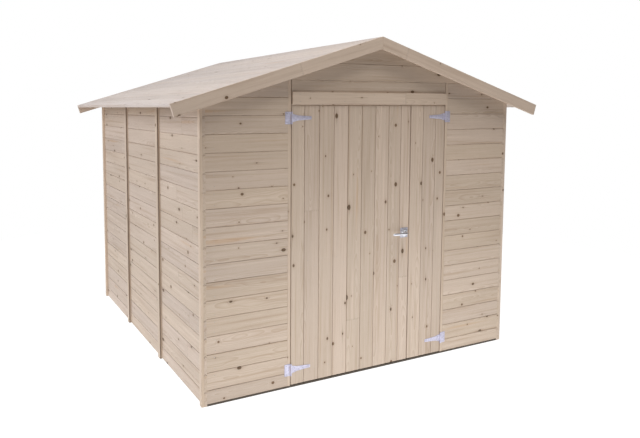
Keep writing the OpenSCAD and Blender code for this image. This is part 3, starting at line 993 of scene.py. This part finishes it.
for end, outward in (("front", -Y), ("rear", Y)):
    low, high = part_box(end + "_right_barge")
    barge_y = low.y + NAIL_PROUD if end == "front" else high.y - NAIL_PROUD
    top_at_middle = high.z
    spots = []
    for side in (-1, 1):
        for along in spaced(0.0, high.x, 0.34, 0.07):
            for drop in (0.022, 0.052):
                spots.append(Vector((side * along, barge_y, top_at_middle - along * rise - drop)))
    trim_nails += nails(end + "_barge_nails", spots, outward)

for name, side in (("left", -1), ("right", 1)):
    low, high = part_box(f"roof_{name}_slope")
    spots = []
    length = high.x if side > 0 else -low.x
    boards = courses(0.0, length / math.cos(slope), COVER, COVER)
    for a, b in zip(boards, boards[1:]):
        out = ((a + b) / 2) * math.cos(slope)
        for y in (front_y + 0.03, front_y / 3, -front_y / 3, -front_y - 0.03):
            for shift in (-0.028, 0.028):
                x = (length - out) + shift
                if 0.02 < x < length:
                    spots.append(Vector((side * x, y, high.z - x * rise)))
    trim_nails += nails(f"roof_{name}_nails", spots, roof_normals[side])
print(trim_nails, "nails in the trim and the roof")

# %% [markdown]
# ## Screws
# The hinges and the lock plates are screwed on with cross-head screws. Each head is a low turned
# dome. Its recess is painted shade: a pair of dark bars that stand a hair proud of it, which reads
# the same as the shade in a cut and needs far fewer faces.

# %% Screw heads with a cross
SCREW_RADIUS = 3.9 * MM
SCREW_OUTLINE = [(SCREW_RADIUS, -0.4 * MM), (SCREW_RADIUS, 0.25 * MM),
                 (SCREW_RADIUS * 0.85, 0.75 * MM), (SCREW_RADIUS * 0.5, 1.05 * MM),
                 (SCREW_RADIUS * 0.1, 1.15 * MM)]
STRAP_PROUD = 3.0 * MM
CROSS_LONG, CROSS_WIDE, CROSS_TOP = 2.3 * MM, 0.45 * MM, 1.2 * MM


def screws(name, places, axis, body):
    """Screw heads, each turned to its own angle."""
    heads, bars = bmesh.new(), bmesh.new()
    for place in places:
        turned(heads, place, axis, SCREW_OUTLINE, 20)
        angle = shake.uniform(0, math.pi / 2)
        turn = axis.to_track_quat("Z", "Y").to_matrix()
        for extra in (0, math.pi / 2):
            c, n = math.cos(angle + extra), math.sin(angle + extra)
            corners = []
            for a, b in ((-1, -1), (1, -1), (1, 1), (-1, 1)):
                u, v = a * CROSS_LONG, b * CROSS_WIDE
                corners.append(Vector((u * c - v * n, u * n + v * c, 0)))
            rings = [[bars.verts.new(place + turn @ (q + Z * h)) for q in corners]
                     for h in (0.4 * MM, CROSS_TOP)]
            for i in range(4):
                j = (i + 1) % 4
                bars.faces.new((rings[0][i], rings[0][j], rings[1][j], rings[1][i]))
            bars.faces.new(rings[0])
            bars.faces.new(rings[1])
    make_piece(name, heads, zinc, body=body, smooth=50)
    # Painted shade: the dark bars stand in for the shade inside each cross recess.
    make_piece(name + "_recess", bars, recess_painted_shade, body=body)
    return len(places)


# Painted shade: a near-black finish for the bars that stand in for the recesses.
recess_painted_shade = Finish("recess", Base_Color=(0.05, 0.05, 0.055, 1), Roughness=0.6,
                     Metallic=0.6).material
turned_in = 0
spots = []
for low, high in solid_boxes("hinge_plates"):
    left = high.x < 0
    middle_z = (low.z + high.z) / 2
    plate_out = low.x if left else high.x
    inward = 1 if left else -1
    surface = faces["front"].reach + STRAP_PROUD
    for dx, dz in ((0.011, 0.027), (0.011, -0.027), (0.026, 0.0)):
        spots.append(Vector((plate_out + inward * dx, -surface, middle_z + dz)))
turned_in += screws("hinge_plate_screws", spots, -Y, "shed")
for door in ("wide_door", "narrow_door"):
    spots = []
    for low, high in solid_boxes(door + "_straps"):
        left = low.x < 0
        middle_z = (low.z + high.z) / 2
        tip = high.x if left else low.x
        back = -1 if left else 1
        surface = faces["front"].reach + STRAP_PROUD
        for dx, dz in ((0.012, 0.0), (0.055, 0.0), (0.112, 0.012), (0.112, -0.012)):
            spots.append(Vector((tip + back * dx, -surface, middle_z + dz)))
    turned_in += screws(door + "_strap_screws", spots, -Y, door)
for low, high in solid_boxes("handle_plates"):
    outside = low.y < front_y
    y = low.y if outside else high.y
    spots = [Vector((x, y, z)) for x in (low.x + 0.008, high.x - 0.008)
             for z in (low.z + 0.008, high.z - 0.008)]
    name = "outer_lock_screws" if outside else "inner_lock_screws"
    turned_in += screws(name, spots, -Y if outside else Y, "wide_door")
print(turned_in, "screws turned in")

# %% [markdown]
# ## The lever handle
# A lever starts as a bar that leaves its rose straight out, bends through a quarter turn and runs
# level, growing flatter towards a rounded end. It is swept along that path, because two cylinders
# that simply meet would leave a corner no hand would like.

# %% Rose and lever
lever_low, lever_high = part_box("handle_lever")
plate_low, plate_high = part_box("handle_plates")
hub = Vector(((plate_low.x + plate_high.x) / 2, 0, (plate_low.z + plate_high.z) / 2))
ROSE_RADIUS = 0.0245
BEND = 0.016
GRIP = 0.0078


def sweep(bm, path, sizes, sides=28):
    """Sweeps an oval along a path in the plane of X and Y. sizes gives each oval's two radii."""
    rings = []
    for i, point in enumerate(path):
        before, after = path[max(i - 1, 0)], path[min(i + 1, len(path) - 1)]
        ahead = (after - before).normalized()
        sideways = ahead.cross(Z).normalized()
        tall, wide = sizes[i]
        ring = []
        for k in range(sides):
            angle = 2 * math.pi * k / sides
            offset = sideways * (wide * math.cos(angle)) + Z * (tall * math.sin(angle))
            ring.append(bm.verts.new(point + offset))
        rings.append(ring)
    for lower, upper in zip(rings, rings[1:]):
        for k in range(sides):
            j = (k + 1) % sides
            bm.faces.new((lower[k], lower[j], upper[j], upper[k]))
    bm.faces.new(rings[0])
    bm.faces.new(rings[-1])


def lever(node, name, way, plate_face, reach_y):
    """The rose and lever on one side of the door. way is -1 outside and 1 inside."""
    axis = Y * way
    bm = bmesh.new()
    foot = Vector((hub.x, plate_face, hub.z))
    rose = [(ROSE_RADIUS, 0.6 * MM), (ROSE_RADIUS, 5.0 * MM), (ROSE_RADIUS - 0.8 * MM, 6.4 * MM),
            (ROSE_RADIUS - 3.0 * MM, 7.0 * MM), (0.0125, 7.0 * MM), (0.0115, 8.5 * MM),
            (0.0100, 9.5 * MM)]
    turned(bm, foot, axis, rose, 48)
    straight = abs(reach_y - plate_face) - BEND
    end_x = lever_low.x
    path, sizes = [], []
    for k in range(5):
        path.append(foot + axis * (0.008 + (straight - 0.008) * k / 4))
        sizes.append((GRIP + 0.8 * MM - 0.2 * MM * k, GRIP + 0.8 * MM - 0.2 * MM * k))
    corner = foot + axis * straight - X * BEND
    for k in range(1, 9):
        angle = math.pi / 2 * k / 8
        path.append(corner + X * (BEND * math.cos(angle)) + axis * (BEND * math.sin(angle)))
        sizes.append((GRIP + 0.4 * MM * k / 8, GRIP - 0.8 * MM * k / 8))
    run = (hub.x - BEND) - end_x
    for k in range(1, 15):
        share = k / 14
        inward = 5 * MM * share ** 2
        path.append(corner + axis * (BEND - inward) - X * (run * share))
        shrink = 1.0 if share < 0.93 else 0.45 + 0.55 * math.sqrt(max(0.0, (1 - share) / 0.07))
        sizes.append(((GRIP + 0.4 * MM + 0.8 * MM * share) * shrink,
                      (GRIP - 0.8 * MM - 1.4 * MM * share) * shrink))
    sweep(bm, path, sizes)
    make_piece(name, bm, satin, [node], "handle", smooth=40)


lever("handle_lever", "outer_lever", -1, plate_low.y, lever_low.y + 0.009)
inside_low, inside_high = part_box("inside_lever")
lever("inside_lever", "inner_lever", 1, plate_high.y, inside_high.y - 0.009)
print("levers swept, hub at", [round(v, 3) for v in hub])

# %% The bounds of everything shown
low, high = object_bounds()
